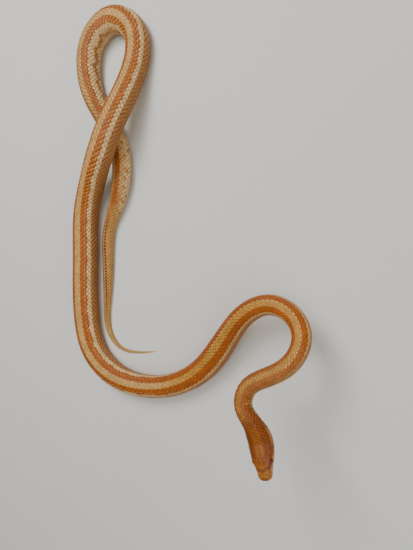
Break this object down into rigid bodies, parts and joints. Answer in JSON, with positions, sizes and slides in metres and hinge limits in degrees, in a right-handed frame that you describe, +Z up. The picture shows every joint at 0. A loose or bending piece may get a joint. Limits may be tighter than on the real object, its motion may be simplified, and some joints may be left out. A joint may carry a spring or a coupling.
{
  "type": "corn snake",
  "caption": "Life-size corn snake lying in a long loop that crosses over itself, its front raised in an arch and its head held level.",
  "frame": {"origin": "middle of the bounding box, on the floor that the belly rests on", "axes": "+Z up, snout towards -Y, the long loop towards +Y, the head's side of the animal towards +X"},
  "size_m": [0.2505, 0.4067, 0.0918],
  "materials": {
    "head_skin": "satin orange-brown plates and small scales",
    "body_skin": "satin overlapping scales, orange bands beside a straw stripe, cream flanks and belly",
    "tail_skin": "satin overlapping scales, yellow-tan with small dark diamonds",
    "eye": "clear glossy spectacle over a ruby eye"
  },
  "bodies": {
    "root": {"head": "head_skin", "lower_jaw": "head_skin", "eye_left": "eye", "eye_right": "eye", "neck": "body_skin", "body_1": "body_skin", "body_2": "body_skin", "body_3": "body_skin", "body_4": "body_skin", "body_5": "body_skin", "body_6": "body_skin", "body_7": "body_skin", "body_8": "body_skin", "body_9": "body_skin", "body_10": "body_skin", "tail_1": "tail_skin", "tail_2": "tail_skin"}
  },
  "joints": []
}
